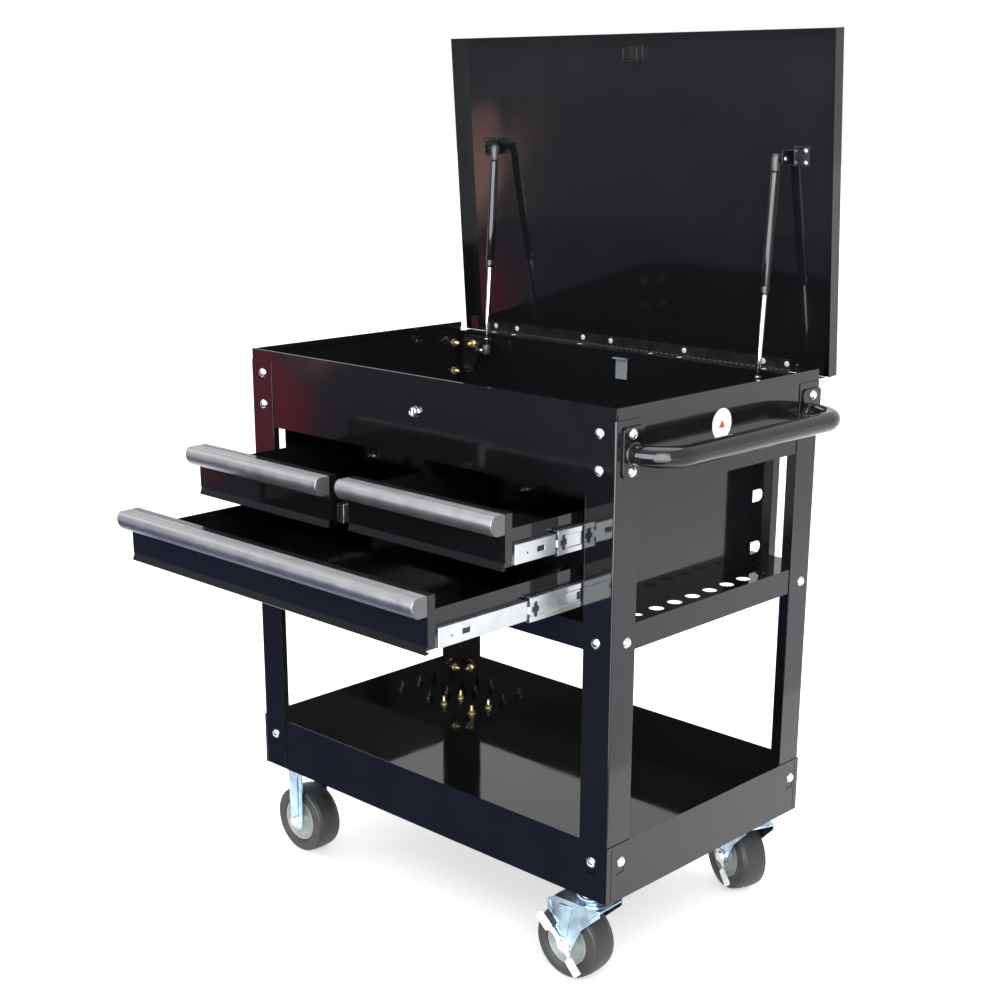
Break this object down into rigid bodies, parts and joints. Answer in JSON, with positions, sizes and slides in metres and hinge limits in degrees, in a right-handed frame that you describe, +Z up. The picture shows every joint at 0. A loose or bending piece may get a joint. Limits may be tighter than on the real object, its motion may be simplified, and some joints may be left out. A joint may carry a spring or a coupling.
{
  "type": "tool cart",
  "caption": "Steel service cart: lidded top box on gas struts, three ball-bearing drawers, open bottom tray, tool rack, side push handle and braked swivel casters.",
  "frame": {"origin": "floor level, under the centre of the bounding box with the lid open and the drawers partly out", "axes": "+X towards the push handle (right side), +Y towards the back (hinge side), +Z up"},
  "size_m": [0.9208, 0.9008, 1.4848],
  "materials": {
    "black_paint": "gloss black powder coat",
    "zinc_plate": "bright zinc-plated steel",
    "chrome": "polished",
    "satin_aluminium": "satin anodised extrusion",
    "strut_black": "semi-gloss black",
    "tyre_rubber": "matte rubber",
    "hub_grey": "grey painted steel hub"
  },
  "bodies": {
    "frame": {"post_front_left": "black_paint", "post_front_right": "black_paint", "post_rear_left": "black_paint", "post_rear_right": "black_paint", "bottom_tray": "black_paint", "middle_shelf": "black_paint", "box_front_panel": "black_paint", "box_left_panel": "black_paint", "box_right_panel": "black_paint", "box_back_and_floor": "black_paint", "cabinet_wall_left": "black_paint", "cabinet_wall_right": "black_paint", "drawer_divider": "black_paint", "slide_outer_upper_left_left": "zinc_plate", "slide_outer_upper_right_right": "zinc_plate", "slide_outer_wide_left": "zinc_plate", "slide_outer_wide_right": "zinc_plate", "hinge_leaf_box": "black_paint", "push_handle": "black_paint", "fork_front_left": "zinc_plate", "fork_rear_left": "zinc_plate", "swivel_plate_front_right": "zinc_plate", "swivel_plate_rear_right": "zinc_plate"},
    "lid": {"lid_pan": "black_paint", "hinge_leaf_lid": "black_paint"},
    "lock": {"lock_plug": "chrome"},
    "strut_rod_left": {"strut_rod_left": "chrome"},
    "strut_tube_left": {"strut_tube_left": "strut_black"},
    "strut_rod_right": {"strut_rod_right": "chrome"},
    "strut_tube_right": {"strut_tube_right": "strut_black"},
    "drawer_upper_left": {"drawer_upper_left": "black_paint", "drawer_pull_upper_left": "satin_aluminium", "slide_inner_upper_left_left": "zinc_plate", "slide_inner_upper_left_right": "zinc_plate"},
    "slides_upper_left": {"slide_middle_upper_left_left": "zinc_plate", "slide_middle_upper_left_right": "zinc_plate"},
    "drawer_upper_right": {"drawer_upper_right": "black_paint", "drawer_pull_upper_right": "satin_aluminium", "slide_inner_upper_right_left": "zinc_plate", "slide_inner_upper_right_right": "zinc_plate"},
    "slides_upper_right": {"slide_middle_upper_right_left": "zinc_plate", "slide_middle_upper_right_right": "zinc_plate"},
    "drawer_wide": {"drawer_wide": "black_paint", "drawer_pull_wide": "satin_aluminium", "slide_inner_wide_left": "zinc_plate", "slide_inner_wide_right": "zinc_plate"},
    "slides_wide": {"slide_middle_wide_left": "zinc_plate", "slide_middle_wide_right": "zinc_plate"},
    "caster_front_right": {"fork_front_right": "zinc_plate"},
    "brake_front_right": {"brake_lever_front_right": "zinc_plate"},
    "caster_rear_right": {"fork_rear_right": "zinc_plate"},
    "brake_rear_right": {"brake_lever_rear_right": "zinc_plate"},
    "wheel_front_left": {"tyre_front_left": "tyre_rubber", "hub_front_left": "hub_grey"},
    "wheel_rear_left": {"tyre_rear_left": "tyre_rubber", "hub_rear_left": "hub_grey"},
    "wheel_front_right": {"tyre_front_right": "tyre_rubber", "hub_front_right": "hub_grey"},
    "wheel_rear_right": {"tyre_rear_right": "tyre_rubber", "hub_rear_right": "hub_grey"}
  },
  "joints": [
    {"name": "lid_hinge", "type": "hinge", "parent": "frame", "child": "lid", "pos_m": [-0.03812, 0.42829, 0.9405], "axis": [1, 0, 0], "range_deg": [0, 85.8], "stiffness_Nm_per_rad": 1.5, "springref_deg": -114.59},
    {"name": "strut_left_pivot", "type": "hinge", "parent": "frame", "child": "strut_rod_left", "pos_m": [-0.35463, 0.37529, 0.9095], "axis": [1, 0, 0], "range_deg": [0, 88.4]},
    {"name": "strut_left_stroke", "type": "slide", "parent": "strut_rod_left", "child": "strut_tube_left", "axis": [0, 0.0611, 0.9981], "range_m": [-0.0823, 0]},
    {"name": "strut_right_pivot", "type": "hinge", "parent": "frame", "child": "strut_rod_right", "pos_m": [0.27837, 0.37529, 0.9095], "axis": [1, 0, 0], "range_deg": [0, 88.4]},
    {"name": "strut_right_stroke", "type": "slide", "parent": "strut_rod_right", "child": "strut_tube_right", "axis": [0, 0.0611, 0.9981], "range_m": [-0.0823, 0]},
    {"name": "lock_turn", "type": "hinge", "parent": "frame", "child": "lock", "pos_m": [-0.03812, -0.11061, 0.8966], "axis": [0, 1, 0], "range_deg": [0, 90]},
    {"name": "drawer_upper_left_slide", "type": "slide", "parent": "frame", "child": "drawer_upper_left", "axis": [0, -1, 0], "range_m": [-0.17, 0.23]},
    {"name": "slides_upper_left_travel", "type": "slide", "parent": "frame", "child": "slides_upper_left", "axis": [0, -1, 0], "range_m": [-0.085, 0.115]},
    {"name": "drawer_upper_right_slide", "type": "slide", "parent": "frame", "child": "drawer_upper_right", "axis": [0, -1, 0], "range_m": [-0.1565, 0.2435]},
    {"name": "slides_upper_right_travel", "type": "slide", "parent": "frame", "child": "slides_upper_right", "axis": [0, -1, 0], "range_m": [-0.07825, 0.12175]},
    {"name": "drawer_wide_slide", "type": "slide", "parent": "frame", "child": "drawer_wide", "axis": [0, -1, 0], "range_m": [-0.31, 0.09]},
    {"name": "slides_wide_travel", "type": "slide", "parent": "frame", "child": "slides_wide", "axis": [0, -1, 0], "range_m": [-0.155, 0.045]},
    {"name": "caster_front_right_swivel", "type": "hinge", "parent": "frame", "child": "caster_front_right", "pos_m": [0.31988, -0.06471, 0.1445], "axis": [0, 0, 1], "continuous": true},
    {"name": "wheel_front_right_roll", "type": "hinge", "parent": "caster_front_right", "child": "wheel_front_right", "pos_m": [0.28191, -0.06637, 0.0635], "axis": [-0.0436, 0.999, 0], "continuous": true},
    {"name": "brake_front_right_rock", "type": "hinge", "parent": "caster_front_right", "child": "brake_front_right", "pos_m": [0.28191, -0.06637, 0.0635], "axis": [-0.0436, 0.999, 0], "range_deg": [0, 22]},
    {"name": "caster_rear_right_swivel", "type": "hinge", "parent": "frame", "child": "caster_rear_right", "pos_m": [0.31988, 0.35929, 0.1445], "axis": [0, 0, 1], "continuous": true},
    {"name": "wheel_rear_right_roll", "type": "hinge", "parent": "caster_rear_right", "child": "wheel_rear_right", "pos_m": [0.28452, 0.37322, 0.0635], "axis": [0.3665, 0.9304, 0], "continuous": true},
    {"name": "brake_rear_right_rock", "type": "hinge", "parent": "caster_rear_right", "child": "brake_rear_right", "pos_m": [0.28452, 0.37322, 0.0635], "axis": [0.3665, 0.9304, 0], "range_deg": [0, 22]},
    {"name": "wheel_front_left_roll", "type": "hinge", "parent": "frame", "child": "wheel_front_left", "pos_m": [-0.39613, -0.06471, 0.0635], "axis": [0, 1, 0], "continuous": true},
    {"name": "wheel_rear_left_roll", "type": "hinge", "parent": "frame", "child": "wheel_rear_left", "pos_m": [-0.39613, 0.35929, 0.0635], "axis": [0, 1, 0], "continuous": true}
  ],
  "couplings": [
    {"joint": "strut_left_pivot", "follows": "lid_hinge", "ratio": 1.0299},
    {"joint": "strut_left_stroke", "follows": "lid_hinge", "m_per_rad": -0.054926},
    {"joint": "strut_right_pivot", "follows": "lid_hinge", "ratio": 1.0299},
    {"joint": "strut_right_stroke", "follows": "lid_hinge", "m_per_rad": -0.054926},
    {"joint": "slides_upper_left_travel", "follows": "drawer_upper_left_slide", "ratio": 0.5},
    {"joint": "slides_upper_right_travel", "follows": "drawer_upper_right_slide", "ratio": 0.5},
    {"joint": "slides_wide_travel", "follows": "drawer_wide_slide", "ratio": 0.5}
  ]
}
